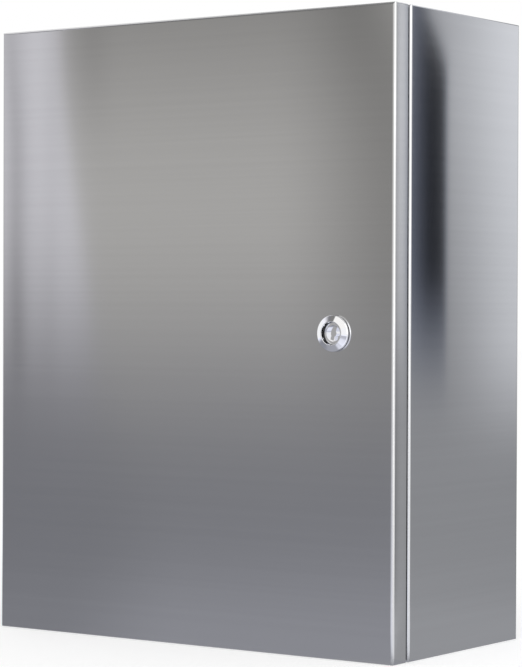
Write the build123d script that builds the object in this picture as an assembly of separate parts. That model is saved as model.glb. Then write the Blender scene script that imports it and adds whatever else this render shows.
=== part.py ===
from build123d import *
import os

os.makedirs("parts", exist_ok=True)

# Wall-mounting electrical enclosure of brushed stainless sheet, in millimetres.
# The origin is the middle of the back's outer face, which is the middle of the four wall holes.
# X is to the right as seen from the front, Y goes into the wall and Z is up.

# Cabinet
width = 390.0
height = 500.0
body_depth = 167.7
sheet = 1.5
bend_radius = 2.2        # outside of every fold
weld_radius = 1.2        # ground corner welds
wall_hole_diameter = 9.0
wall_hole_inset = 32.0   # from the cabinet's outer sides and ends, in straight reach of a tool

# Front rim, turned in from the sides, and the lip turned forward from the rim
rim_width = 22.0         # from the cabinet's side to the lip's outer face
lip_height = 14.3
lip_corner = 8.0

# Door tray
door_return = 18.5
door_gap = 3.8           # shadow gap between the return and the body

# Foamed seal on the door's inner face, under the lip's edge
gasket_width = 12.0
gasket_round = 2.0
seal_gap = 0.3           # the lip only just clears the seal

# Cable opening in the bottom and its blank plate
gland_opening_width = 200.0
gland_opening_depth = 80.0
gland_corner = 4.0
gland_overlap = 15.0     # of the blank plate on each side of the opening
gland_sheet = 1.5
gland_seal = 2.0
gland_thread = 5.0
gland_stud_length = 11.0

# Equipment plate on four studs
plate_side_margin = 40.0  # from the cabinet's side to the plate, which clears the wall holes
plate_end_margin = 45.0
plate_sheet = 2.0
plate_edge = 10.0         # folded back along both sides
plate_corner = 3.0
plate_stud_inset = 15.0
plate_thread = 6.0
spacer_length = 14.0
spacer_diameter = 12.0
plate_stud_spare = 3.0    # stud beyond the nut

# Hinges, with the pin inside the door tray at its left side
hinge_inset = 6.8         # from the cabinet's side to the pin's axis
hinge_depth = 7.7         # from the door's front face to the pin's axis
hinge_end = 80.0          # from the cabinet's top or bottom to the middle of a hinge
pin_diameter = 5.0
pin_slack = 0.05
pin_head_diameter = 8.0
pin_head_height = 1.5
pin_tail = 2.0            # of the pin below the lower ear
pin_chamfer = 0.5
barrel_diameter = 8.4
barrel_length = 20.0
arm_thickness = 3.0
leaf_thickness = 2.0
leaf_length = 40.0
leaf_clear = 0.8          # from the rim's bends to the leaf
ear_thickness = 2.0
ear_diameter = 9.6
ear_gap = 0.3
door_leaf_thickness = 1.5
door_leaf_length = 60.0
door_leaf_clear = 0.75    # from the seal to the door leaf
door_leaf_side_clear = 0.2  # from the bend at the door's left side to the door leaf
hinge_thread = 4.0
recess_length = 3.0       # cross recess in the rim screws
recess_width = 0.8
recess_depth = 1.0
rim_screw_pitch = 28.0
door_stud_pitch = 44.0
hinge_stud_spare = 1.0
notch_clear = 3.0         # round the body leaf in the door's left return
notch_corner = 2.0

# Insert lock
lock_inset = 54.0         # from the door's right side to the lock's axis
lock_height = 0.0
lock_head_diameter = 28.0
lock_head_height = 4.2
lock_bevel = 1.8
lock_seal_thickness = 0.8
lock_seal_diameter = 27.0
lock_thread = 22.0
lock_hole_slack = 0.25
lock_nut_flats = 27.0
lock_nut_height = 5.0
core_diameter = 17.44
core_slack = 0.08
core_recess = 3.7         # from the head's front face to the core's
core_floor = 3.0          # end wall of the housing behind the core
boss_diameter = 12.08
bit_well_diameter = 12.6
bit_well_depth = 3.2
bit_post_diameter = 5.0
bit_width = 3.0
bit_length = 10.6
bit_setback = 0.6
bit_angle = -17.0
cam_gap = 0.3             # behind the rim and behind the housing
cam_thickness = 2.5
cam_hub_diameter = 20.0
cam_width = 16.0
cam_reach = 42.0
cam_corner = 3.0
cam_square = 7.0
cam_washer_diameter = 16.0
cam_washer_thickness = 1.2
cam_thread = 6.0
cam_screw_depth = 10.0
cam_hole_spare = 1.0      # of the core's threaded hole beyond the screw

# Earthing points
earth_thread = 6.0
earth_stud_length = 18.0
body_earth_inset = 75.0   # from the cabinet's hinge side
body_earth_rise = 35.0    # above the cabinet's bottom
door_earth_inset = 45.0
door_earth_rise = 50.0

# Fastener proportions, in thread diameters
nut_flats = 1.7
nut_height = 0.82
washer_diameter = 2.0
washer_thickness = 0.2
screw_head_diameter = 1.75
screw_head_height = 0.6
screw_head_round = 0.6    # of the pan head's height
hex_head_height = 0.65
stud_chamfer = 0.1
turned_radius = 0.57      # of a hexagon's turned corners, in its flats
turned_chamfer = 0.05
thread_slack = 0.05       # between a thread and the nut on it, all round
hole_slack = 0.3          # between a thread and a plain hole, all round

# Places that follow from the sizes
door_front = -(body_depth + door_gap + door_return)
skin_back = door_front + sheet
rim_face = -body_depth
rim_back = rim_face + sheet
lip_width = width - 2 * rim_width
lip_length = height - 2 * rim_width
hinge_x = -width / 2 + hinge_inset
hinge_y = door_front + hinge_depth
hinge_places = {"upper": height / 2 - hinge_end, "lower": hinge_end - height / 2}
gasket_half = lip_width / 2 - sheet / 2 + gasket_width / 2
door_leaf_left = -width / 2 + bend_radius + door_leaf_side_clear
door_leaf_right = -gasket_half - door_leaf_clear
door_stud_x = (door_leaf_left + door_leaf_right) / 2
rim_leaf_left = -width / 2 + bend_radius + leaf_clear
rim_leaf_right = -lip_width / 2 - (bend_radius - sheet) - leaf_clear
rim_screw_x = (rim_leaf_left + rim_leaf_right) / 2
plate_width = width - 2 * plate_side_margin
plate_height = height - 2 * plate_end_margin
plate_back = -sheet - spacer_length
plate_front = plate_back - plate_sheet
plate_stud_x = plate_width / 2 - plate_stud_inset
plate_stud_z = plate_height / 2 - plate_stud_inset
gland_y = -body_depth / 2
bottom_inside = -height / 2 + sheet
lock_x = width / 2 - lock_inset
lock_seat = door_front - lock_seal_thickness
lock_front = lock_seat - lock_head_height
core_front = lock_front + core_recess
housing_end = rim_back
cam_front = housing_end + cam_gap
cam_back = cam_front + cam_thickness
weld_inside = 0.2 * sheet   # inside of a corner weld
stay = 2 * thread_slack   # how much thinner a thread is than its nut's bore


def stand(shape, point, direction):
    """Moves a shape drawn up from the origin to start at a point and run in a direction."""
    return Plane(origin=point, z_dir=direction).location * shape


def slab(x_from, x_to, y_from, y_to, z_from, z_to):
    """Plain block between two corners."""
    block = Box(x_to - x_from, y_to - y_from, z_to - z_from)
    return Pos((x_from + x_to) / 2, (y_from + y_to) / 2, (z_from + z_to) / 2) * block


def rod(diameter, length, tip=0.0):
    """Round bar up from the origin, with a chamfered end if asked."""
    bar = extrude(Circle(diameter / 2), length)
    if tip:
        bar = chamfer(bar.edges().sort_by(Axis.Z)[-1], tip)
    return bar


def stud(thread, length):
    """Threaded stud, welded at its foot."""
    return rod(thread - stay, length, thread * stud_chamfer)


def hexagon(flats, tall):
    """Six-sided head or nut blank with its corners turned off at both faces."""
    blank = extrude(RegularPolygon(flats / 2, 6, major_radius=False), tall)
    turned = extrude(Circle(flats * turned_radius), tall)
    turned = chamfer(turned.edges().filter_by(GeomType.CIRCLE), flats * turned_chamfer)
    return blank & turned


def nut(thread, flats=0.0, tall=0.0):
    """Plain nut, by its thread's proportions unless other sizes are given."""
    flats = flats or thread * nut_flats
    tall = tall or thread * nut_height
    return hexagon(flats, tall) - rod(thread, tall)


def washer(thread, outside=0.0, thick=0.0):
    """Plain washer, by its thread's proportions unless other sizes are given."""
    outside = outside or thread * washer_diameter
    thick = thick or thread * washer_thickness
    return rod(outside, thick) - rod(thread + 2 * hole_slack, thick)


def frame_outline(wide, tall, corner):
    """Rounded rectangle facing the front, drawn in X and Z."""
    return Plane.XZ * RectangleRounded(wide, tall, corner)


def prism(outline, y_from, y_to):
    """Outline drawn in X and Z, made solid between two depths."""
    solid = extrude(outline, (y_to - y_from) / 2, both=True)
    return Pos(0, (y_from + y_to) / 2, 0) * solid


def folded_block(wide, tall, y_from, y_to, bend, corner, back_folds):
    """Outline of a folded box: bends along the front edges, and the back ones if asked, and
    tighter welded corners between its sides. It is what three rounded bars have in common."""
    deep = y_to - y_from
    plan = Rectangle(wide, deep)
    plan = fillet(plan.vertices().sort_by(Axis.Y)[: 4 if back_folds else 2], bend)
    profile = Rectangle(deep, tall)
    profile = fillet(profile.vertices().sort_by(Axis.X)[: 4 if back_folds else 2], bend)
    upright = extrude(plan, tall / 2, both=True)
    across = extrude(Plane.YZ * profile, wide / 2, both=True)
    through = prism(frame_outline(wide, tall, corner), -deep / 2, deep / 2)
    return Pos(0, (y_from + y_to) / 2, 0) * (upright & across & through)


def edges_at(shape, depth, half_width, half_height):
    """Edges that lie in one depth plane, within a half width and half height."""
    near = 0.01

    def inside(edge):
        box = edge.bounding_box()
        flat = abs(box.min.Y - depth) < near and abs(box.max.Y - depth) < near
        wide = max(abs(box.min.X), abs(box.max.X)) < half_width + near
        return flat and wide and max(abs(box.min.Z), abs(box.max.Z)) < half_height + near

    return shape.edges().filter_by(inside)


def body_shell():
    """Folded body with the turned-in rim and forward lip, wall holes, the cable opening and the
    screw holes of the hinges."""
    outer = folded_block(width, height, rim_face, 0, bend_radius, weld_radius, True)
    inner = folded_block(width - 2 * sheet, height - 2 * sheet, rim_back, -sheet,
                         bend_radius - sheet, weld_inside, True)
    mouth = frame_outline(lip_width - 2 * sheet, lip_length - 2 * sheet, lip_corner - sheet)
    lip = frame_outline(lip_width, lip_length, lip_corner)
    shell = outer - inner + prism(lip, rim_face - lip_height, rim_back)
    shell -= prism(mouth, rim_face - lip_height, rim_back)
    rounded = edges_at(shell, rim_back, lip_width / 2 - sheet, lip_length / 2 - sheet)
    shell = fillet(rounded, bend_radius)
    hollow = edges_at(shell, rim_face, lip_width / 2, lip_length / 2)
    shell = fillet(hollow, bend_radius - sheet)
    for x in (wall_hole_inset - width / 2, width / 2 - wall_hole_inset):
        for z in (wall_hole_inset - height / 2, height / 2 - wall_hole_inset):
            shell -= stand(rod(wall_hole_diameter, sheet), (x, -sheet, z), (0, 1, 0))
    opening = extrude(RectangleRounded(gland_opening_width, gland_opening_depth, gland_corner), sheet)
    shell -= Pos(0, gland_y, -height / 2) * opening
    for point in rim_screw_points():
        hole = rod(hinge_thread + 2 * hole_slack, sheet)
        shell -= stand(hole, (point[0], rim_face, point[1]), (0, 1, 0))
    return shell


def door_panel():
    """Door tray: the skin, its four returns, the lock's hole and the notches that let the left
    return swing past the body leaves of the hinges."""
    back = door_front + door_return
    outer = folded_block(width, height, door_front, back, bend_radius, weld_radius, False)
    inner = folded_block(width - 2 * sheet, height - 2 * sheet, skin_back, back + door_gap,
                         bend_radius - sheet, weld_inside, False)
    tray = outer - inner
    hole = rod(lock_thread + 2 * lock_hole_slack, sheet)
    tray -= stand(hole, (lock_x, door_front, lock_height), (0, 1, 0))
    notch_floor = door_front + bend_radius + door_leaf_side_clear
    notch_length = leaf_length + 2 * notch_clear
    cut = Rectangle(2 * (back - notch_floor), notch_length)
    cut = extrude(Plane.YZ * fillet(cut.vertices(), notch_corner), sheet)
    for place in hinge_places.values():
        tray -= Pos(-width / 2, back, place) * cut
    return tray


def door_gasket():
    """Closed ring of foamed rubber with a rounded crown, laid on the skin under the lip."""
    wide = 2 * gasket_half
    tall = lip_length - sheet + gasket_width
    round_outside = lip_corner - sheet / 2 + gasket_width / 2
    crown = rim_face - lip_height - seal_gap
    ring = prism(frame_outline(wide, tall, round_outside), skin_back, crown)
    hole = frame_outline(wide - 2 * gasket_width, tall - 2 * gasket_width,
                         max(round_outside - gasket_width, 1.0))
    ring -= prism(hole, skin_back, crown)
    return fillet(edges_at(ring, crown, wide, tall), gasket_round)


def gland_points():
    """Middle points of the six studs round the cable opening, in X and Y."""
    reach_x = (gland_opening_width + gland_overlap) / 2
    reach_y = (gland_opening_depth + gland_overlap) / 2
    return [(x, gland_y + y) for x in (-reach_x, 0, reach_x) for y in (-reach_y, reach_y)]


def gland_blank(level, thick):
    """Flat rectangle over the cable opening, with holes for the studs."""
    wide = gland_opening_width + 2 * gland_overlap
    deep = gland_opening_depth + 2 * gland_overlap
    blank = Pos(0, gland_y, level) * extrude(RectangleRounded(wide, deep, gland_corner), thick)
    for x, y in gland_points():
        blank -= Pos(x, y, level) * rod(gland_thread + 2 * hole_slack, thick)
    return blank


def gland_gasket():
    """Flat rubber frame between the bottom and the blank plate."""
    hole = RectangleRounded(gland_opening_width, gland_opening_depth, gland_corner)
    blank = gland_blank(bottom_inside, gland_seal)
    return blank - Pos(0, gland_y, bottom_inside) * extrude(hole, gland_seal)


def gland_fasteners(piece, level):
    """One copy of a fastener over each stud place, on a level."""
    return Compound([Pos(x, y, level) * piece for x, y in gland_points()])


def mounting_plate():
    """Equipment plate with its two long sides folded back."""
    outer = Rectangle(plate_width, plate_edge)
    outer = fillet(outer.vertices().sort_by(Axis.Y)[:2], bend_radius)
    inner = Pos(0, plate_sheet) * Rectangle(plate_width - 2 * plate_sheet, plate_edge)
    inner = fillet(inner.vertices().sort_by(Axis.Y)[:2], bend_radius - plate_sheet)
    plate = extrude(Pos(0, plate_front + plate_edge / 2) * (outer - inner), plate_height / 2, both=True)
    cut = prism(frame_outline(plate_width, plate_height, plate_corner), plate_front, 0)
    plate = plate & cut
    for x, z in plate_points():
        hole = rod(plate_thread + 2 * hole_slack, plate_sheet)
        plate -= stand(hole, (x, plate_front, z), (0, 1, 0))
    return plate


def plate_points():
    """Middle points of the four plate studs, in X and Z."""
    return [(x, z) for x in (-plate_stud_x, plate_stud_x) for z in (-plate_stud_z, plate_stud_z)]


def plate_fasteners(piece, depth):
    """One copy of a fastener on each plate stud, running forward from a depth."""
    return Compound([stand(piece, (x, depth, z), (0, -1, 0)) for x, z in plate_points()])


def hinge_plan(diameter, block):
    """Plan of a hinge piece: an eye round the pin's axis joined to a block."""
    x_from, x_to, y_from, y_to = block
    middle = ((x_from + x_to) / 2, (y_from + y_to) / 2)
    eye = Pos(hinge_x, hinge_y) * Circle(diameter / 2)
    return eye + Pos(*middle) * Rectangle(x_to - x_from, y_to - y_from)


def pin_bore(length):
    """Round bar that the pin turns in, as long as asked and centred on the hinge."""
    return Pos(hinge_x, hinge_y, -length / 2) * rod(pin_diameter + 2 * pin_slack, length)


def hinge_body_leaf():
    """Leaf on the rim: a base in the gutter, an arm forward from it and the barrel."""
    arm_right = hinge_x + barrel_diameter / 2
    arm = (arm_right - arm_thickness, arm_right, hinge_y, rim_face - leaf_thickness / 2)
    leaf = extrude(hinge_plan(barrel_diameter, arm), barrel_length / 2, both=True)
    base = slab(rim_leaf_left, rim_leaf_right, rim_face - leaf_thickness, rim_face,
                -leaf_length / 2, leaf_length / 2)
    leaf = leaf + base - pin_bore(barrel_length)
    for z in (-rim_screw_pitch / 2, rim_screw_pitch / 2):
        hole = rod(hinge_thread + 2 * hole_slack, leaf_thickness)
        leaf -= stand(hole, (rim_screw_x, rim_face - leaf_thickness, z), (0, 1, 0))
    return leaf


def hinge_door_leaf():
    """Leaf on the door's skin, with one ear above the barrel and one below it."""
    strip_back = skin_back + door_leaf_thickness
    leaf = slab(door_leaf_left, door_leaf_right, skin_back, strip_back,
                -door_leaf_length / 2, door_leaf_length / 2)
    block = (door_leaf_left, hinge_x + ear_diameter / 2, skin_back, hinge_y)
    ear = extrude(hinge_plan(ear_diameter, block), ear_thickness)
    keep = slab(-width, width, strip_back, 0, 0, ear_thickness)
    for level in (barrel_length / 2 + ear_gap, -barrel_length / 2 - ear_gap - ear_thickness):
        leaf += Pos(0, 0, level) * (ear & keep)
        leaf += Pos(0, 0, level) * slab(door_leaf_left, hinge_x + ear_diameter / 2,
                                        skin_back, strip_back, 0, ear_thickness)
    leaf -= pin_bore(barrel_length + 2 * (ear_gap + ear_thickness))
    for z in (-door_stud_pitch / 2, door_stud_pitch / 2):
        hole = rod(hinge_thread + 2 * hole_slack, door_leaf_thickness)
        leaf -= stand(hole, (door_stud_x, skin_back, z), (0, 1, 0))
    return leaf


def hinge_pin():
    """Headed pin, in from above, long enough to show under the lower ear."""
    half = barrel_length / 2 + ear_gap + ear_thickness
    shank = Pos(0, 0, -half - pin_tail) * rod(pin_diameter, 2 * half + pin_tail + ear_gap)
    shank = chamfer(shank.edges().sort_by(Axis.Z)[0], pin_chamfer)
    head = Pos(0, 0, half + ear_gap) * rod(pin_head_diameter, pin_head_height, pin_chamfer)
    return Pos(hinge_x, hinge_y, 0) * (shank + head)


def rim_screw_points():
    """Middle points of the screws that hold both body leaves, in X and Z."""
    offsets = (-rim_screw_pitch / 2, rim_screw_pitch / 2)
    return [(rim_screw_x, place + z) for place in hinge_places.values() for z in offsets]


def door_stud_points():
    """Middle points of the weld studs that hold both door leaves, in X and Z."""
    offsets = (-door_stud_pitch / 2, door_stud_pitch / 2)
    return [(door_stud_x, place + z) for place in hinge_places.values() for z in offsets]


def pan_screw():
    """Cross-recessed pan head screw, its head at the origin and its thread running down."""
    tall = hinge_thread * screw_head_height
    head = rod(hinge_thread * screw_head_diameter, tall)
    head = fillet(head.edges().sort_by(Axis.Z)[-1], tall * screw_head_round)
    cross = Rectangle(recess_length, recess_width) + Rectangle(recess_width, recess_length)
    recess = Pos(0, 0, tall - recess_depth) * extrude(cross, recess_depth)
    shank_length = leaf_thickness + sheet + hinge_thread * nut_height + hinge_stud_spare
    return head - recess + Pos(0, 0, -shank_length) * rod(hinge_thread - stay, shank_length)


def on_lock(shape, depth, direction=1):
    """Shape drawn up from the origin, put on the lock's axis at a depth."""
    return stand(shape, (lock_x, depth, lock_height), (0, direction, 0))


def lock_housing():
    """Head with a bevelled rim and a threaded barrel, bored for the turning core."""
    head = rod(lock_head_diameter, lock_head_height, lock_bevel)
    housing = on_lock(head, lock_seat, -1)
    housing += on_lock(rod(lock_thread - stay, housing_end - lock_seat), lock_seat)
    bore_end = housing_end - core_floor
    housing -= on_lock(rod(core_diameter + 2 * core_slack, bore_end - lock_front), lock_front)
    housing -= on_lock(rod(boss_diameter + 2 * core_slack, core_floor), bore_end)
    return housing


def lock_core():
    """Turning core: a double bit in a well at the front, a boss through the housing's end wall,
    a square for the cam and a threaded hole for its screw."""
    shoulder = housing_end - core_floor - core_slack
    core = on_lock(rod(core_diameter, shoulder - core_front), core_front)
    core += on_lock(rod(boss_diameter, cam_front - shoulder), shoulder)
    square = extrude(Rectangle(cam_square, cam_square), cam_thickness - core_slack)
    core += on_lock(square, cam_front)
    core -= on_lock(rod(bit_well_diameter, bit_well_depth), core_front)
    bit = Circle(bit_post_diameter / 2) + Rectangle(bit_length, bit_width)
    bit = extrude(Rot(0, 0, bit_angle) * bit, bit_well_depth - bit_setback)
    core += on_lock(bit, core_front + bit_well_depth, -1)
    core -= on_lock(rod(cam_thread, cam_screw_depth + cam_hole_spare), cam_back, -1)
    return core


def lock_cam():
    """Flat latch tongue with a square eye, hanging down when the lock is open."""
    middle = cam_reach / 2
    tongue = Pos(0, -middle) * RectangleRounded(cam_width, cam_reach, cam_corner)
    outline = Circle(cam_hub_diameter / 2) + tongue
    outline -= Rectangle(cam_square + 2 * core_slack, cam_square + 2 * core_slack)
    cam = extrude(Plane.XZ * outline, cam_thickness)
    return Pos(lock_x, cam_back, lock_height) * cam


def cam_screw():
    """Hexagon screw that clamps the cam on the core."""
    thread_end = cam_back + cam_washer_thickness
    head = hexagon(cam_thread * nut_flats, cam_thread * hex_head_height)
    shank = rod(cam_thread - stay, cam_screw_depth + cam_washer_thickness)
    return on_lock(head, thread_end) + on_lock(shank, thread_end, -1)


def save(name, shape):
    """Writes one named piece."""
    export_step(shape, os.path.join("parts", name + ".step"))


def save_earth_point(name, x, depth, z, direction):
    """Writes an earthing stud with its washer and nut, in the order they go on."""
    thick = earth_thread * washer_thickness
    facing = (0, direction, 0)
    save(name + "_stud", stand(stud(earth_thread, earth_stud_length), (x, depth, z), facing))
    save(name + "_washer", stand(washer(earth_thread), (x, depth, z), facing))
    save(name + "_nut", stand(nut(earth_thread), (x, depth + direction * thick, z), facing))


save("body_shell", body_shell())
save("door_panel", door_panel())
save("door_gasket", door_gasket())

gland_level = bottom_inside + gland_seal
gland_top = gland_level + gland_sheet
gland_nut_level = gland_top + gland_thread * washer_thickness
save("gland_gasket", gland_gasket())
save("gland_plate", gland_blank(gland_level, gland_sheet))
save("gland_studs", gland_fasteners(stud(gland_thread, gland_stud_length), bottom_inside))
save("gland_washers", gland_fasteners(washer(gland_thread), gland_top))
save("gland_nuts", gland_fasteners(nut(gland_thread), gland_nut_level))

plate_washer_depth = plate_thread * washer_thickness
plate_stud_length = (spacer_length + plate_sheet + plate_washer_depth
                     + plate_thread * nut_height + plate_stud_spare)
spacer = rod(spacer_diameter, spacer_length) - rod(plate_thread + 2 * hole_slack, spacer_length)
save("mounting_plate", mounting_plate())
save("plate_studs", plate_fasteners(stud(plate_thread, plate_stud_length), -sheet))
save("plate_spacers", plate_fasteners(spacer, -sheet))
save("plate_washers", plate_fasteners(washer(plate_thread), plate_front))
save("plate_nuts", plate_fasteners(nut(plate_thread), plate_front - plate_washer_depth))

for side, place in hinge_places.items():
    save("hinge_body_leaf_" + side, Pos(0, 0, place) * hinge_body_leaf())
    save("hinge_door_leaf_" + side, Pos(0, 0, place) * hinge_door_leaf())
    save("hinge_pin_" + side, Pos(0, 0, place) * hinge_pin())

door_stud_length = door_leaf_thickness + hinge_thread * nut_height + hinge_stud_spare
save("hinge_rim_screws", Compound([stand(pan_screw(), (x, rim_face - leaf_thickness, z), (0, -1, 0))
                                   for x, z in rim_screw_points()]))
save("hinge_rim_nuts", Compound([stand(nut(hinge_thread), (x, rim_back, z), (0, 1, 0))
                                 for x, z in rim_screw_points()]))
save("hinge_door_studs", Compound([stand(stud(hinge_thread, door_stud_length), (x, skin_back, z), (0, 1, 0))
                                   for x, z in door_stud_points()]))
save("hinge_door_nuts", Compound([stand(nut(hinge_thread), (x, skin_back + door_leaf_thickness, z), (0, 1, 0))
                                  for x, z in door_stud_points()]))

lock_seal = rod(lock_seal_diameter, lock_seal_thickness) - rod(lock_thread, lock_seal_thickness)
cam_clamp = washer(cam_thread, cam_washer_diameter, cam_washer_thickness)
save("lock_housing", lock_housing())
save("lock_gasket", on_lock(lock_seal, lock_seat))
save("lock_nut", on_lock(nut(lock_thread, lock_nut_flats, lock_nut_height), skin_back))
save("lock_core", lock_core())
save("lock_cam", lock_cam())
save("cam_washer", on_lock(cam_clamp, cam_back))
save("cam_screw", cam_screw())

save_earth_point("body_earth", body_earth_inset - width / 2, -sheet, body_earth_rise - height / 2, -1)
save_earth_point("door_earth", door_earth_inset - width / 2, skin_back, door_earth_rise - height / 2, 1)
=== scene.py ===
import math

import bpy
import numpy as np
from mathutils import Matrix, Vector


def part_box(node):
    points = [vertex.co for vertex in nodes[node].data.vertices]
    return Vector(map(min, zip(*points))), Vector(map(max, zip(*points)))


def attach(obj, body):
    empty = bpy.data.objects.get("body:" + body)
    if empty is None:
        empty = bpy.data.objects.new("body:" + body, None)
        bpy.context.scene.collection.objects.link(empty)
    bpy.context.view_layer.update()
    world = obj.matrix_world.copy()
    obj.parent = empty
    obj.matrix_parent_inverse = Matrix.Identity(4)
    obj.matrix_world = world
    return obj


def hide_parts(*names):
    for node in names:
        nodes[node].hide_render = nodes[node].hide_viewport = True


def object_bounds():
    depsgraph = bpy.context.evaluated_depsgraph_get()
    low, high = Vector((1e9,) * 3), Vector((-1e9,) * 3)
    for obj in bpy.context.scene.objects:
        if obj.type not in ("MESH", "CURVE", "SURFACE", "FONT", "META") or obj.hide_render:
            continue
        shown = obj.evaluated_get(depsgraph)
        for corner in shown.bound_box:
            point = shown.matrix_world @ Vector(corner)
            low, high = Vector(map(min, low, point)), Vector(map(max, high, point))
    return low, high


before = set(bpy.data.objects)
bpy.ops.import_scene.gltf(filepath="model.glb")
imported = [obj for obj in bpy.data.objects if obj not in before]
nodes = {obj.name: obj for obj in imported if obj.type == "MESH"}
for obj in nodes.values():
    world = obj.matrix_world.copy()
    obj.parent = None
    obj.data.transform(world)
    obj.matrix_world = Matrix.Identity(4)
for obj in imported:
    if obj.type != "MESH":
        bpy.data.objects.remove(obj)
cad_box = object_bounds()


# Cabinet body: one folded and welded box of 1.5 mm stainless sheet, brushed along its width before
# folding. Its front rim turns in and then forward to a lip, and its back has four wall holes.
class Wire:
    """One output of a shader node. Each sign on it adds a Math node."""

    def __init__(self, tree, socket=None):
        self.tree = tree
        self.socket = socket

    def add(self, kind, settings=None, values=None, out=0):
        """Adds a node: its type, then its settings, then its sockets' values or links."""
        node = self.tree.nodes.new("ShaderNode" + kind)
        for name, value in (settings or {}).items():
            setattr(node, name, value)
        for name, value in (values or {}).items():
            if isinstance(value, Wire):
                self.tree.links.new(value.socket, node.inputs[name])
            else:
                node.inputs[name].default_value = value
        return Wire(self.tree, node.outputs[out] if node.outputs else None)

    def maths(self, operation, first, second=0.0):
        """A Math node on one or two values or wires."""
        return self.add("Math", {"operation": operation}, {0: first, 1: second})

    def __add__(self, other):
        return self.maths("ADD", self, other)

    __radd__ = __add__

    def __sub__(self, other):
        return self.maths("SUBTRACT", self, other)

    def __rsub__(self, other):
        return self.maths("SUBTRACT", other, self)

    def __mul__(self, other):
        return self.maths("MULTIPLY", self, other)

    __rmul__ = __mul__

    def __truediv__(self, other):
        return self.maths("DIVIDE", self, other)

    def step(self, none, full):
        """0 up to none and 1 from full on, with a smooth rise between. Full may be the lower one."""
        return self.add("MapRange", {"interpolation_type": "SMOOTHSTEP"},
                        {"Value": self, "From Min": none, "From Max": full})

    def bell(self, middle, sharpness):
        """exp(-sharpness * (value - middle) ** 2), which is 1 at the middle."""
        off = self - middle
        return self.maths("EXPONENT", off * off * -sharpness)

    def towards(self, target, share):
        """The value moved by that share of its way to the target."""
        return share * (target - self) + self

    def most(self, *others):
        """The largest of this wire and the others."""
        largest = self
        for other in others:
            largest = self.maths("MAXIMUM", largest, other)
        return largest

    def tinted(self, colour=(1.0, 1.0, 1.0)):
        """A colour with this wire's value times each of the colour's parts."""
        return self.add("CombineColor", values={part: self * level for part, level in enumerate(colour)})

    def mixed(self, factor, first, second, blend="MIX"):
        """A colour between two. A Mix node keeps its colours in the sockets 6 and 7, and out at 2."""
        return self.add("Mix", {"data_type": "RGBA", "blend_type": blend},
                        {0: factor, 6: first, 7: second}, out=2)


def new_material(name):
    """An empty node material and a wire to build it with."""
    material = bpy.data.materials.new(name)
    material.use_nodes = True
    material.node_tree.nodes.clear()
    return material, Wire(material.node_tree)


def dress(name, material):
    """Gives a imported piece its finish."""
    for slot in nodes[name].material_slots:
        slot.material = material


def brushed_sheet(name, colour, seed):
    """Sheet brushed along its width. The grain is long noise, thousands of lines a metre high and
    a few a metre wide. Faces that look up or down are brushed along X, and have no turning
    highlight, so a second shader takes them."""
    along = 5.0
    across = 1300.0
    coarser = 6
    micron = 0.000001
    material, wire = new_material(name)
    place = wire.add("TexCoord", out="Object")
    upward = wire.add("SeparateXYZ", values={0: wire.add("NewGeometry", out="Normal")}, out="Z")
    lying = wire.maths("ABSOLUTE", upward).step(0.6, 0.8)
    shaders = []
    for stretch, turning, dullness in (((along, along, across), 1.0, 0.09),
                                       ((along, across, along), 0.0, 0.2)):
        fine = wire.add("Mapping", values={"Vector": place, "Scale": stretch, "Location": (seed, 0, 0)})
        fine = wire.add("TexNoise", values={"Vector": fine, "Scale": 1.0, "Detail": 4.0, "Roughness": 0.6})
        broad = tuple(scale / coarser for scale in stretch)
        broad = wire.add("Mapping", values={"Vector": place, "Scale": broad, "Location": (0, seed, 0)})
        broad = wire.add("TexNoise", values={"Vector": broad, "Scale": 1.0, "Detail": 2.0})
        relief = wire.add("Bump", values={"Height": fine, "Strength": 0.5, "Distance": micron})
        tone = wire.add("MapRange", values={"Value": broad, "From Min": 0.3, "From Max": 0.7,
                                            "To Min": 0.985, "To Max": 1.01})
        tint = wire.mixed(1.0, (*colour, 1), tone.tinted(), "MULTIPLY")
        shaders.append(wire.add("BsdfPrincipled", values={
            "Base Color": tint, "Metallic": 1.0, "Roughness": fine * 0.04 + dullness,
            "Anisotropic": turning, "Anisotropic Rotation": 0.25, "Normal": relief}))
    both = wire.add("MixShader", values={0: lying, 1: shaders[0], 2: shaders[1]})
    wire.add("OutputMaterial", values={"Surface": both})
    return material


body_colour = (0.66, 0.665, 0.68)
dress("body_shell", brushed_sheet("brushed_body", body_colour, 3.7))


# Door: a tray of the same sheet with welded and ground corners, the body's own outline. Its return
# ends a few millimetres short of the body, which leaves a dark line all round.
door_colour = (0.66, 0.66, 0.665)
dress("door_panel", brushed_sheet("brushed_door", door_colour, 11.3))


# Equipment plate: 2 mm galvanised sheet, its long sides folded back, held off the back wall by four
# weld studs. The zinc has grown in crystals a few millimetres wide.
def galvanised_sheet():
    """Crystals are cells of two sizes: each has its own tone and gloss."""
    unevenness = 0.012
    relief_depth = 0.00003
    material, wire = new_material("galvanised_sheet")
    place = wire.add("TexCoord", out="Object")
    bend = wire.add("TexNoise", values={"Vector": place, "Scale": 60.0, "Detail": 2.0}, out="Color")
    bent = wire.add("Mix", {"data_type": "VECTOR"}, {0: unevenness, 4: place, 5: bend}, out=1)
    cells = [wire.add("TexVoronoi", values={"Vector": bent, "Scale": count}, out="Color")
             for count in (110.0, 260.0)]
    large, small = [wire.add("SeparateColor", values={0: cell}, out="Red") for cell in cells]
    crystal = large * 0.7 + small * 0.3
    tint = (crystal * 0.20 + 0.53).tinted((0.97, 1.0, 1.03))
    relief = wire.add("Bump", values={"Height": crystal, "Strength": 0.3, "Distance": relief_depth})
    shade = wire.add("BsdfPrincipled", values={
        "Base Color": tint, "Metallic": 1.0, "Roughness": 0.46 - large * 0.16, "Normal": relief})
    wire.add("OutputMaterial", values={"Surface": shade})
    return material


dress("mounting_plate", galvanised_sheet())


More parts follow.
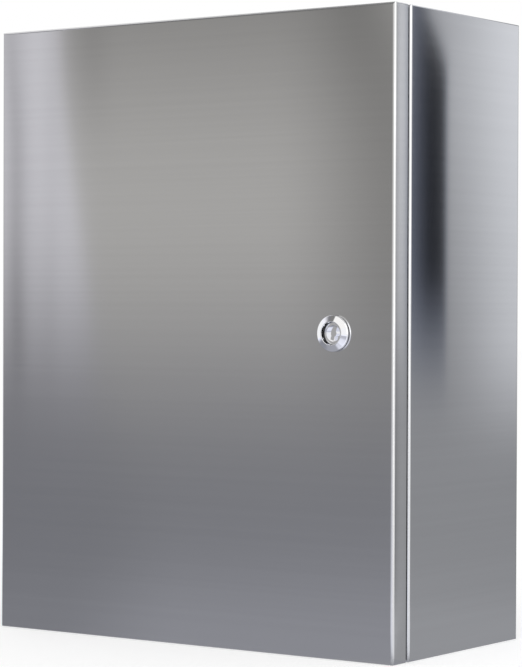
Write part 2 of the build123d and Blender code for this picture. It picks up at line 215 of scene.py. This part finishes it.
# Weld studs, nuts, washers and screws: zinc-plated steel. A stud is welded on by its foot and has a
# rolled thread up to its chamfered tip.
def plain_metal(name, colour, rough, cloud):
    """Plated or tumbled metal with a faint cloudy unevenness of tone, gloss and surface."""
    relief_depth = 0.00004
    material, wire = new_material(name)
    place = wire.add("TexCoord", out="Object")
    clouds = wire.add("TexNoise", values={"Vector": place, "Scale": cloud, "Detail": 4.0})
    relief = wire.add("Bump", values={"Height": clouds, "Strength": 0.4, "Distance": relief_depth})
    tint = (clouds * 0.24 + 0.88).tinted(colour)
    shade = wire.add("BsdfPrincipled", values={
        "Base Color": tint, "Metallic": 1.0, "Roughness": clouds * 0.16 + rough, "Normal": relief})
    wire.add("OutputMaterial", values={"Surface": shade})
    return material


zinc = plain_metal("zinc_plating", (0.70, 0.715, 0.74), 0.18, 260.0)
for name in nodes:
    if name.endswith(("screws", "screw", "nuts", "nut", "washers", "washer", "spacers", "cam")):
        dress(name, zinc)


def skin(name, rings, closed, material, body, slot, *replaced):
    """Mesh through rings of points, an array of copies, rings, points round a ring and x, y, z.
    Closed rings join the last ring to the first, and open ones end in a fan round their middle."""
    copies, count, around, _ = rings.shape
    ring = np.arange(count if closed else count - 1)[:, None] * around
    turn = np.arange(around)[None, :]
    ahead = (ring + around) % (count * around)
    after = (turn + 1) % around
    quads = np.stack((ring + turn, ring + after, ahead + after, ahead + turn), axis=-1).reshape(-1, 4)
    points = rings.reshape(copies, -1, 3)
    faces = []
    if not closed:
        middles = rings[:, (0, -1)].mean(axis=2)
        points = np.concatenate((points, middles), axis=1)
        last = (count - 1) * around
        first_fan = np.stack((turn[0], np.full(around, count * around), after[0]), axis=-1)
        last_fan = np.stack((turn[0] + last, after[0] + last, np.full(around, count * around + 1)), axis=-1)
    for copy in range(copies):
        start = copy * points.shape[1]
        faces += (quads + start).tolist()
        if not closed:
            faces += (first_fan + start).tolist() + (last_fan + start).tolist()
    mesh = bpy.data.meshes.new(name)
    mesh.from_pydata(points.reshape(-1, 3).tolist(), [], faces)
    mesh.polygons.foreach_set("use_smooth", np.ones(len(mesh.polygons), dtype=bool))
    mesh.materials.append(material)
    piece = bpy.data.objects.new(name, mesh)
    bpy.context.scene.collection.objects.link(piece)
    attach(piece, body)
    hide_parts(*replaced)


def thread_dip(along, turn, pitch):
    """How far a thread lies below its crest: a wave with flat sides that moves on by one pitch
    for every turn, 0 at the crest and 1 at the root."""
    phase = (along / pitch - turn / (2 * math.pi)) % 1.0
    return np.clip(1.9 * np.abs(2 * phase - 1) - 0.45, 0, 1)


stud_undersize = 0.00005
m4 = (0.004, 0.0007)
m5 = (0.005, 0.0008)
m6 = (0.006, 0.001)


def threaded_studs(name, node, feet, facing, length, size, body):
    """Studs on the points in feet, of a size given by its diameter and pitch. The radius is that
    of the solid stud, less the thread's dip, which sets in half a pitch above the foot, and less
    the chamfer at the tip."""
    diameter, pitch = size
    rows_per_pitch = 8
    points_round = 24
    depth = 0.6 * pitch
    chamfer = diameter * 0.1
    radius = diameter / 2 - stud_undersize
    along = np.linspace(0, length, int(length / pitch * rows_per_pitch))[:, None]
    turn = np.linspace(0, 2 * math.pi, points_round, endpoint=False)[None, :]
    started = np.clip(along / pitch - 0.5, 0, 1)
    reach = radius - depth * thread_dip(along, turn, pitch) * started
    reach = np.minimum(reach, radius - np.clip(along - (length - chamfer), 0, None))
    facing = np.array(facing, dtype=float)
    first = np.roll(facing, 1)
    second = np.cross(facing, first)
    shape = (reach[..., None] * (np.cos(turn)[..., None] * first + np.sin(turn)[..., None] * second)
             + along[..., None] * facing)
    rings = np.array(feet)[:, None, None, :] + shape[None]
    skin(name, rings, False, zinc, body, "zinc_plated", node)


def stud_line(low, high, size, count):
    """Middle lines of studs spread evenly between the two outermost, from their box's ends."""
    inset = size[0] / 2 - stud_undersize
    return np.linspace(low + inset, high - inset, count)


low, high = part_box("plate_studs")
feet = [(x, high.y, z) for x in stud_line(low.x, high.x, m6, 2) for z in stud_line(low.z, high.z, m6, 2)]
threaded_studs("plate_stud_threads", "plate_studs", feet, (0, -1, 0), high.y - low.y, m6, "enclosure")

low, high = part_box("gland_studs")
feet = [(x, y, low.z) for x in stud_line(low.x, high.x, m5, 3) for y in stud_line(low.y, high.y, m5, 2)]
threaded_studs("gland_stud_threads", "gland_studs", feet, (0, 0, 1), high.z - low.z, m5, "enclosure")

low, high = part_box("body_earth_stud")
foot = ((low.x + high.x) / 2, high.y, (low.z + high.z) / 2)
threaded_studs("body_earth_thread", "body_earth_stud", [foot], (0, -1, 0), high.y - low.y, m6, "enclosure")

low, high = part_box("door_earth_stud")
foot = ((low.x + high.x) / 2, low.y, (low.z + high.z) / 2)
threaded_studs("door_earth_thread", "door_earth_stud", [foot], (0, 1, 0), high.y - low.y, m6, "door")

low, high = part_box("hinge_door_studs")
stud_x = (low.x + high.x) / 2
ends = stud_line(low.z, high.z, m4, 2)
leaf_low, leaf_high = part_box("hinge_door_leaf_upper")
inner_end = leaf_low.z + leaf_high.z - ends[1]
feet = [(stud_x, low.y, z) for z in (ends[0], -inner_end, inner_end, ends[1])]
threaded_studs("hinge_stud_threads", "hinge_door_studs", feet, (0, 1, 0), high.y - low.y, m4, "door")


# Cable plate: blank brushed stainless over the opening in the bottom, on a flat rubber frame. It is
# drilled for the cables only when the cabinet is wired.
def seal_rubber(name, pore, shine):
    """Black rubber: open pores in foam, or a talcum-dull face on sheet rubber."""
    relief_depth = 0.0002
    material, wire = new_material(name)
    place = wire.add("TexCoord", out="Object")
    pores = wire.add("TexVoronoi", values={"Vector": place, "Scale": pore})
    dust = wire.add("TexNoise", values={"Vector": place, "Scale": 90.0, "Detail": 3.0})
    relief = wire.add("Bump", values={"Height": pores, "Strength": 0.35, "Distance": relief_depth})
    tint = (dust * 0.016 + 0.014).tinted((1.0, 1.0, 1.08))
    shade = wire.add("BsdfPrincipled", values={
        "Base Color": tint, "Roughness": dust * 0.2 + shine, "Normal": relief})
    wire.add("OutputMaterial", values={"Surface": shade})
    return material


dress("gland_plate", brushed_sheet("brushed_cable_plate", body_colour, 5.1))
sheet_rubber = seal_rubber("sheet_rubber", 2500.0, 0.55)
dress("gland_gasket", sheet_rubber)


# Hinges: tumbled stainless leaves and headed pins. The body leaves are screwed to the rim and the
# door leaves sit on weld studs, so the pin is inside the door's edge and nothing shows outside.
hinge_steel = plain_metal("tumbled_steel", (0.56, 0.56, 0.57), 0.26, 420.0)
for name in nodes:
    if name.startswith(("hinge_body_leaf", "hinge_door_leaf", "hinge_pin")):
        dress(name, hinge_steel)


# Door seal: black foam laid in one bead on the door's inner face. Its crown is rounded, it sinks a
# little between touches of the nozzle, and it ends on its own start at the top.
def bead_rings():
    """Rings along a rectangle with round corners. At the angle a of the arch a ring lies
    |cos a| ** 0.55 to the side and 0.12 + 0.88 * |sin a| ** 0.6 up, times half the width and the
    height. Two sine waves along the run lower and narrow it, but not at the start."""
    low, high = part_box("door_gasket")
    width = 0.012
    corner_radius = 0.01325 - width / 2
    corner_points = 10
    spacing = 0.006
    arch_points = 23
    foot_share = 0.96
    foot_rise = 0.12
    lump_reach = 0.009
    sink = 0.00035
    narrowing = 0.03
    long_wave, short_wave = 0.083, 0.031

    half_x = high.x - width / 2 - corner_radius
    half_z = high.z - width / 2 - corner_radius
    middles = np.array(((1, 1), (-1, 1), (-1, -1), (1, -1))) * (half_x, half_z)
    quarter = np.linspace(0, math.pi / 2, corner_points)
    angles = (np.arange(4)[:, None] * math.pi / 2 + quarter).ravel()
    outward = np.stack((np.cos(angles), np.sin(angles)), axis=1)
    stops = np.repeat(middles, corner_points, axis=0) + corner_radius * outward
    gaps = np.linalg.norm(np.roll(stops, -1, axis=0) - stops, axis=1)
    run = np.concatenate(([0], np.cumsum(gaps)))
    even = np.unique(np.concatenate((run[:-1], np.arange(0, run[-1], spacing))))
    line = np.stack([np.interp(even, run, np.append(stops[:, i], stops[0, i])) for i in (0, 1)], axis=1)
    out = np.stack([np.interp(even, run, np.append(outward[:, i], outward[0, i])) for i in (0, 1)], axis=1)

    arch = np.linspace(0, math.pi, arch_points)
    side = np.sign(np.cos(arch)) * np.abs(np.cos(arch)) ** 0.55
    rise = foot_rise + (1 - foot_rise) * np.abs(np.sin(arch)) ** 0.6
    side = np.concatenate(([foot_share], side, [-foot_share])) * width / 2
    rise = np.concatenate(([0], rise, [0]))
    start_lump = np.exp(-((line[:, 0] / lump_reach) ** 2)) * (line[:, 1] > 0)
    wave = (0.5 + 0.25 * np.sin(even * 2 * math.pi / short_wave)
            + 0.25 * np.sin(even * 2 * math.pi / long_wave)) * (1 - start_lump)
    tall = (high.y - low.y) - sink * wave
    breadth = 1 - narrowing * wave
    rings = np.empty((1, len(even), len(side), 3))
    rings[0, :, :, 0] = line[:, :1] + out[:, :1] * side * breadth[:, None]
    rings[0, :, :, 1] = low.y + tall[:, None] * rise
    rings[0, :, :, 2] = line[:, 1:] + out[:, 1:] * side * breadth[:, None]
    return rings


skin("door_seal_bead", bead_rings(), True, seal_rubber("foam_rubber", 900.0, 0.62), "door", "seal_rubber",
     "door_gasket")


# Lock: a cast zinc housing, chromed and polished, with a sloping rim round its bore and a threaded
# barrel through the door. The core turns in the bore, and its double bit takes the key.
lock_x = 0.141
lock_low, lock_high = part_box("lock_housing")
bore_radius = 0.0088
# A radius below 0, so no painted shade in the bore.
no_painted_shade = -0.001


def lock_chrome(name, bore):
    """Bright chrome. Painted shade blackens the bore inside the given radius, from 2.1 mm deep on. A
    radius below 0 leaves none."""
    painted_shade_edge = 0.00008
    painted_shade_top, painted_shade_full = 0.0021, 0.0026
    relief_depth = 0.00003
    material, wire = new_material(name)
    place = wire.add("TexCoord", out="Object")
    flow = wire.add("TexNoise", values={"Vector": place, "Scale": 300.0, "Detail": 2.0})
    relief = wire.add("Bump", values={"Height": flow, "Strength": 0.25, "Distance": relief_depth})
    x, y, z = [wire.add("SeparateXYZ", values={0: place}, out=axis) for axis in ("X", "Y", "Z")]
    off = wire.maths("SQRT", (x - lock_x) * (x - lock_x) + z * z)
    # Painted shade: inside the bore radius and deeper than 2.1 mm, the wall is painted near-black and
    # rougher, as shade in the recess.
    painted_bore_shade = off.step(bore + painted_shade_edge, bore) * (y - lock_low.y).step(painted_shade_top, painted_shade_full)
    tint = (1 - painted_bore_shade * 0.97).tinted((0.90, 0.905, 0.93))
    shade = wire.add("BsdfPrincipled", values={
        "Base Color": tint, "Metallic": 1.0, "Roughness": flow * 0.05 + painted_bore_shade * 0.4 + 0.03,
        "Normal": relief})
    wire.add("OutputMaterial", values={"Surface": shade})
    return material


def lock_rings():
    """Rings round the lock's axis, from the bore over the rim and along the barrel. At the radius r
    the rim lies (r - inner) * tan(slope) further back, and an arc turns it over into the head's
    side. The barrel's radius is less its thread's dip."""
    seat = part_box("lock_gasket")[0].y
    head_radius = 0.014
    barrel_radius = 0.01095
    boss_bore, boss_depth = 0.00612, 0.003
    broken_edge = 0.0003
    tip_chamfer = 0.0004
    thread_start = 0.0008
    thread_depth = 0.0006
    pitch = 0.0015
    barrel_rows = 130
    points_round = 96

    slope = math.radians(24)
    rounding = 0.0008
    inner = bore_radius + broken_edge
    turning = np.linspace(slope, math.pi / 2, 14)
    arc = head_radius - rounding + rounding * np.sin(turning)
    cone = np.linspace(inner, arc[0], 9)[:-1]
    cone_fall = (cone - inner) * math.tan(slope)
    arc_fall = (arc[0] - inner) * math.tan(slope) + rounding * (math.cos(slope) - np.cos(turning))

    barrel = np.linspace(seat + thread_start, lock_high.y - broken_edge, barrel_rows)
    head_radii = np.concatenate(([bore_radius], cone, arc,
                                 [head_radius, head_radius - broken_edge, barrel_radius]))
    head_depths = np.concatenate(([lock_low.y + broken_edge], lock_low.y + cone_fall, lock_low.y + arc_fall,
                                  [seat - broken_edge, seat, seat]))
    radii = np.concatenate((head_radii, np.full(barrel_rows, barrel_radius),
                            [barrel_radius - tip_chamfer, boss_bore, boss_bore, bore_radius]))
    depths = np.concatenate((head_depths, barrel, [lock_high.y, lock_high.y,
                                                   lock_high.y - boss_depth, lock_high.y - boss_depth]))
    turn = np.linspace(0, 2 * math.pi, points_round, endpoint=False)
    started = np.clip((barrel[:, None] - barrel[0]) / pitch - 0.6, 0, 1)
    threads = np.zeros((len(radii), points_round))
    threaded = slice(len(head_radii), len(head_radii) + barrel_rows)
    threads[threaded] = thread_dip(barrel[:, None], turn[None, :], pitch) * thread_depth * started
    reach = radii[:, None] - threads
    return np.stack((lock_x + reach * np.cos(turn), np.broadcast_to(depths[:, None], reach.shape),
                     -reach * np.sin(turn)), axis=-1)[None]


skin("lock_head_and_barrel", lock_rings(), True, lock_chrome("lock_chrome_housing", bore_radius), "door",
     "lock_chrome", "lock_housing")
dress("lock_core", lock_chrome("lock_chrome_core", no_painted_shade))
dress("lock_gasket", sheet_rubber)


# Camera: solved from the picture's edges, to the right of the door and level with its middle.
camera_azimuth = math.radians(35.232)
camera_pitch = math.radians(0.582)
camera_roll = math.radians(0.2075)
camera_place = (1.18007, -1.75816, 0.01883)
focal_pixels = 2460.57
long_side_pixels = 667

back = Vector((math.sin(camera_azimuth) * math.cos(camera_pitch),
               -math.cos(camera_azimuth) * math.cos(camera_pitch), math.sin(camera_pitch)))
right = (-back).cross(Vector((0, 0, 1))).normalized()
up = right.cross(-back)
rolled_right = math.cos(camera_roll) * right + math.sin(camera_roll) * up
rolled_up = math.cos(camera_roll) * up - math.sin(camera_roll) * right
lens = bpy.data.cameras.new("camera")
lens.sensor_width = 36.0
lens.lens = focal_pixels / long_side_pixels * lens.sensor_width
lens.clip_start = 0.01
lens.clip_end = 100.0
camera = bpy.data.objects.new("camera", lens)
turned = Matrix((rolled_right, rolled_up, back)).transposed().to_4x4()
camera.matrix_world = Matrix.Translation(camera_place) @ turned
bpy.context.scene.collection.objects.link(camera)
bpy.context.scene.camera = camera


# Studio: a pale floor under the cabinet, a white surround and one large soft lamp at the right. To
# the camera, glossy faces and glass the floor and the surround are brighter than to matt faces.
floor_level = cad_box[0].z
floor_half = 12.0
floor_white = 0.8
floor_glow = 0.35
background_white = 1.0
room_level = 0.8


def looked_at(wire):
    """1 for a ray from the camera, off a glossy face or through glass, and 0 for the others."""
    rays = [wire.add("LightPath", out="Is %s Ray" % kind) for kind in ("Camera", "Glossy", "Transmission")]
    return rays[0].most(*rays[1:])


floor_mesh = bpy.data.meshes.new("floor")
floor_mesh.from_pydata([(-floor_half, -floor_half, floor_level), (floor_half, -floor_half, floor_level),
                        (floor_half, floor_half, floor_level), (-floor_half, floor_half, floor_level)],
                       [], [(0, 1, 2, 3)])
floor = bpy.data.objects.new("floor", floor_mesh)
bpy.context.scene.collection.objects.link(floor)
floor_material, wire = new_material("floor_paper")
paper = wire.add("BsdfDiffuse", values={"Color": (floor_white, floor_white, floor_white, 1)})
glow = wire.add("Emission", values={"Color": (1, 1, 1, 1), "Strength": floor_glow})
lit = wire.add("AddShader", values={0: paper, 1: glow})
both = wire.add("MixShader", values={0: looked_at(wire), 1: paper, 2: lit})
wire.add("OutputMaterial", values={"Surface": both})
floor_mesh.materials.append(floor_material)

world = bpy.data.worlds.new("surround")
bpy.context.scene.world = world
world.use_nodes = True
world.node_tree.nodes.clear()
wire = Wire(world.node_tree)
white = looked_at(wire) * (background_white - room_level) + room_level
sky = wire.add("Background", values={"Color": (1, 1, 1, 1), "Strength": white})
wire.add("OutputWorld", values={"Surface": sky})
bpy.context.scene.view_settings.view_transform = "Standard"

lamp_light = bpy.data.lights.new("right_lamp", "AREA")
lamp_light.shape = "RECTANGLE"
lamp_light.size = 1.4
lamp_light.size_y = 2.2
lamp_light.energy = 12.5
lamp = bpy.data.objects.new("right_lamp", lamp_light)
lamp_place = Vector((2.1, -0.9, 0.9))
turned = (-lamp_place).to_track_quat("-Z", "Y").to_matrix().to_4x4()
lamp.matrix_world = Matrix.Translation(lamp_place) @ turned
bpy.context.scene.collection.objects.link(lamp)


# Sweeps: two grey paper sweeps and a sheet overhead that show in reflections alone. The door shows
# the sweep at the left in front, and the cabinet's side shows the one at the right behind it.
def sweep(name, foot, facing, under, reach, radius, height, left, right, paper):
    """Paper laid on the floor from a little under the cabinet to reach metres from foot along
    facing, then bent up round radius to height. Its UV map holds metres across it and metres
    along it from the foot, and left and right are its edges in metres across."""
    bend_points = 13
    turns = np.linspace(0, math.pi / 2, bend_points)
    away = np.concatenate(([-under], reach - radius + radius * np.sin(turns), [reach]))
    rise = np.concatenate(([0], radius - radius * np.cos(turns), [height]))
    along = np.concatenate(([0], np.cumsum(np.hypot(np.diff(away), np.diff(rise))))) - under
    facing = np.array((math.sin(facing), -math.cos(facing), 0.0))
    sideways = np.array((facing[1], -facing[0], 0.0))
    across = np.array((left, right))
    points = (np.array(foot) + facing * away[:, None, None] + sideways * across[None, :, None]
              + np.array((0, 0, 1.0)) * rise[:, None, None]).reshape(-1, 3)
    row = np.arange(len(away) - 1) * 2
    quads = np.stack((row, row + 1, row + 3, row + 2), axis=1)
    mesh = bpy.data.meshes.new(name)
    mesh.from_pydata(points.tolist(), [], quads.tolist())
    places = np.stack((np.tile(across, len(away)), np.repeat(along, 2)), axis=1)
    mesh.uv_layers.new(name="paper").data.foreach_set("uv", places[quads.ravel()].ravel())
    material, wire = new_material(name)
    place = wire.add("UVMap", {"uv_map": "paper"})
    u, s = [wire.add("SeparateXYZ", values={0: place}, out=axis) for axis in ("X", "Y")]
    level, colour = paper(wire, u, s)
    glow = wire.add("Emission", values={"Color": colour, "Strength": level})
    wire.add("OutputMaterial", values={"Surface": glow})
    mesh.materials.append(material)
    piece = bpy.data.objects.new(name, mesh)
    for kind in ("camera", "diffuse", "transmission", "volume_scatter", "shadow"):
        setattr(piece, "visible_" + kind, False)
    bpy.context.scene.collection.objects.link(piece)


def front_paper(wire, u, s):
    """Light on the front sweep: u is metres to the left in the door, and s metres along the paper.
    It is brightest at the door's upper half, falls off above and below that and to the right, and
    rises a little at the floor. A pale cloth with two folds hangs at the left, and its edge leans.
    Past the door's right edge come a bright band and a mid tone, and white ends both sides."""
    warm_paper = (1.015, 1.0, 0.97, 1)
    cold_cloth = (1.0, 0.99, 1.045, 1)
    blue_floor = (0.965, 0.985, 1.09, 1)
    upper = s.step(1.45, 1.72)

    spot = s.bell(1.79, 15.0) * 0.36 + 0.235
    near_floor = s.step(1.40, 1.10) * 0.04
    at_foot = s.step(1.0, 0.0) * 0.11
    right_shade = u.step(-0.10, -0.30) * upper * 0.45
    corner_band = u.step(-0.29, -0.35) * (0.50 - u.step(-0.55, -0.85) * 0.26)
    cloth_shade = u.bell(0.150, 2000.0) * s.step(1.86, 1.97) * 0.18
    spot = ((spot + near_floor + at_foot) * (1 - right_shade) + corner_band) * (1 - cloth_shade)

    cloth_edge = s.step(1.5, 2.05) * 0.058 + 0.136 - s.step(1.5, 1.35) * 0.07
    softness = s.step(1.65, 1.45) * 0.05 + 0.010
    cloth = ((u - cloth_edge) / softness).step(-1.0, 1.0)
    waves = wire.add("CombineXYZ", values={0: u * 38.0, 1: s * 1.6})
    waves = wire.add("TexNoise", values={"Vector": waves, "Scale": 1.0, "Detail": 1.0}) - 0.5
    bowed = u - s.step(1.88, 2.02) * 0.010 + s.step(1.70, 1.56) * 0.005
    deep_fold = bowed.bell(0.2540, 14000.0) * s.step(1.50, 1.66) * -0.32
    faint_fold = u.bell(0.211, 6000.0) * s.step(1.80, 1.94) * -0.08
    hung = s.step(1.46, 1.78) * 0.56 + 0.245 + s.step(1.0, 0.1) * 0.05 + waves * upper * 0.3
    hung = hung + deep_fold + faint_fold

    inner = spot.towards(hung, cloth)
    inner = inner.towards(0.12, u.step(0.30, 0.55) * s.step(1.0, 1.4))
    inner = inner.towards(0.22, s.step(2.15, 2.7))
    right_end = u.step(-1.30, -1.75)
    left_end = u.step(0.35, 0.95)
    top_right = u.step(-0.20, -0.32) * s.step(1.95, 2.3)
    foot_right = u.step(-0.175, -0.245) * s.step(0.35, 0.08)
    level = inner.towards(1.0, right_end.most(left_end, top_right, foot_right))
    colour = wire.mixed(cloth, warm_paper, cold_cloth)
    colour = wire.mixed(s.step(1.7, 1.3), colour, blue_floor)
    return level, colour


def side_paper(wire, u, s):
    """Light on the side sweep: u is metres to the left in the side, and s metres along the paper.
    It is brighter towards the right and the top, with one dark upright band that has a sharp right
    edge, leans at its top and fades towards the floor. Left of the band a lighter strip faces the
    door's return, a dark line follows it, and white ends the paper all round."""
    cool_paper = (0.985, 1.0, 1.04, 1)
    blue_band = (0.88, 0.98, 1.28, 1)
    edge_softness = 0.0025
    strip_start, strip_full = 0.0515, 0.0560
    upper = s.step(0.47, 0.62)

    bright = u.step(0.03, -0.06) * s.step(0.42, 0.56) * 0.40 + 0.36
    bright = bright + s.step(0.50, 0.85) * 0.20 + s.step(0.38, 0.2) * 0.06
    band_edge = s.step(0.79, 0.875) * 0.022 + 0.0175
    band = (u - band_edge).step(-edge_softness, edge_softness) * u.step(strip_full, strip_start)
    dark = u.step(0.031, 0.051) * 0.12 + 0.02
    inner = bright.towards(dark, band * upper)
    strip = u.step(strip_start, strip_full)
    inner = (inner + strip * upper * 0.22) * (1 + strip * 0.22)
    far_shade = u.step(-0.055, -0.105) * 0.65
    corner_line = u.step(0.0625, 0.0655) * u.step(0.16, 0.13) * 0.75
    inner = inner * (1 - far_shade) * (1 - corner_line)

    right_end = u.step(-0.33, -0.58)
    left_end = u.step(0.13, 0.23)
    foot_left = u.step(0.058, 0.070) * s.step(0.32, 0.15)
    top_end = s.step(0.95, 1.15)
    level = inner.towards(1.0, right_end.most(left_end, foot_left, top_end))
    return level, wire.mixed(band * upper, cool_paper, blue_band)


def ceiling_paper(wire, u, s):
    """Light on the sheet overhead: dim in the middle and white at both ends."""
    return wire.maths("ABSOLUTE", u).step(0.6, 1.3) * 0.75 + 0.25, (1, 1, 1, 1)


sweep_level = floor_level + 0.0004
sweep("front_sweep", (0, -0.196, sweep_level), math.radians(-36.6), under=0.15, reach=1.5, radius=0.3,
      height=2.6, left=-1.9, right=1.1, paper=front_paper)
sweep("side_sweep", (0.196, -0.084, sweep_level), math.radians(149.5), under=0.12, reach=0.35, radius=0.1,
      height=1.0, left=-0.60, right=0.25, paper=side_paper)
sweep("ceiling", (0, -0.8, 1.7), math.radians(180), under=0, reach=2.2, radius=0.05, height=0.06,
      left=-1.4, right=1.4, paper=ceiling_paper)
